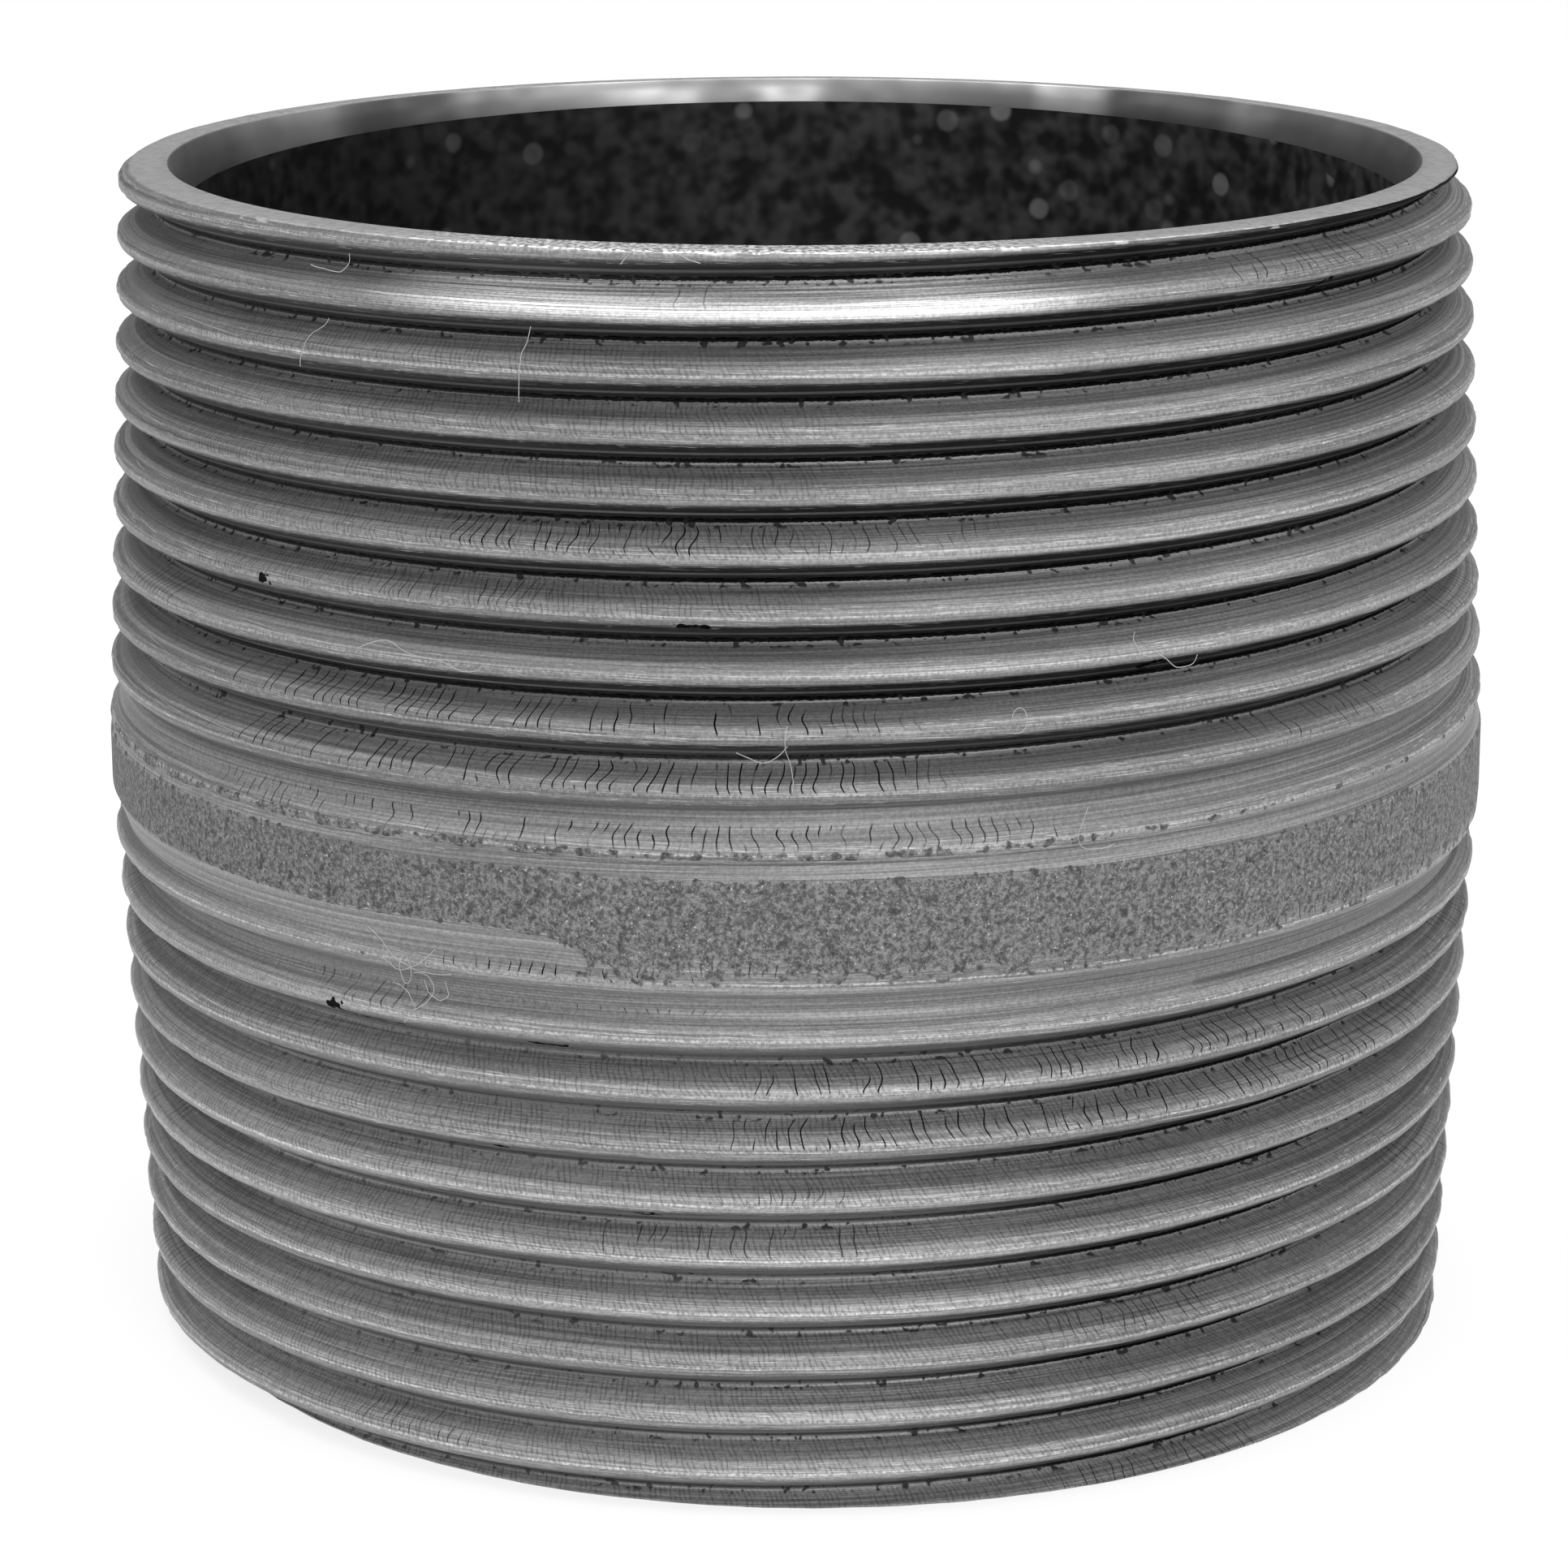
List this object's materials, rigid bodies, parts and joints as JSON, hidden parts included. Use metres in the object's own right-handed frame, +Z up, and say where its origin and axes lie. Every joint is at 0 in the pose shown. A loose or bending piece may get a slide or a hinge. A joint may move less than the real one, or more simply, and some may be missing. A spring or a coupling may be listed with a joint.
{
  "type": "threaded steel pipe nipple",
  "caption": "Close taper pipe nipple: a short steel tube threaded from both ends, with a narrow plain band left in the middle and an open bore.",
  "frame": {"origin": "centre of the bore in the plane of the lower end face, on which the nipple stands", "axes": "+Z up the bore's axis, -Y towards the viewer of the picture, +X to the right"},
  "size_m": [0.0603, 0.0602, 0.051],
  "materials": {
    "threaded_steel": "die-cut threads, bare and slightly torn, with a dark rough coating on the plain band and in the bore"
  },
  "bodies": {
    "root": {"pipe_nipple": "threaded_steel"}
  },
  "joints": []
}
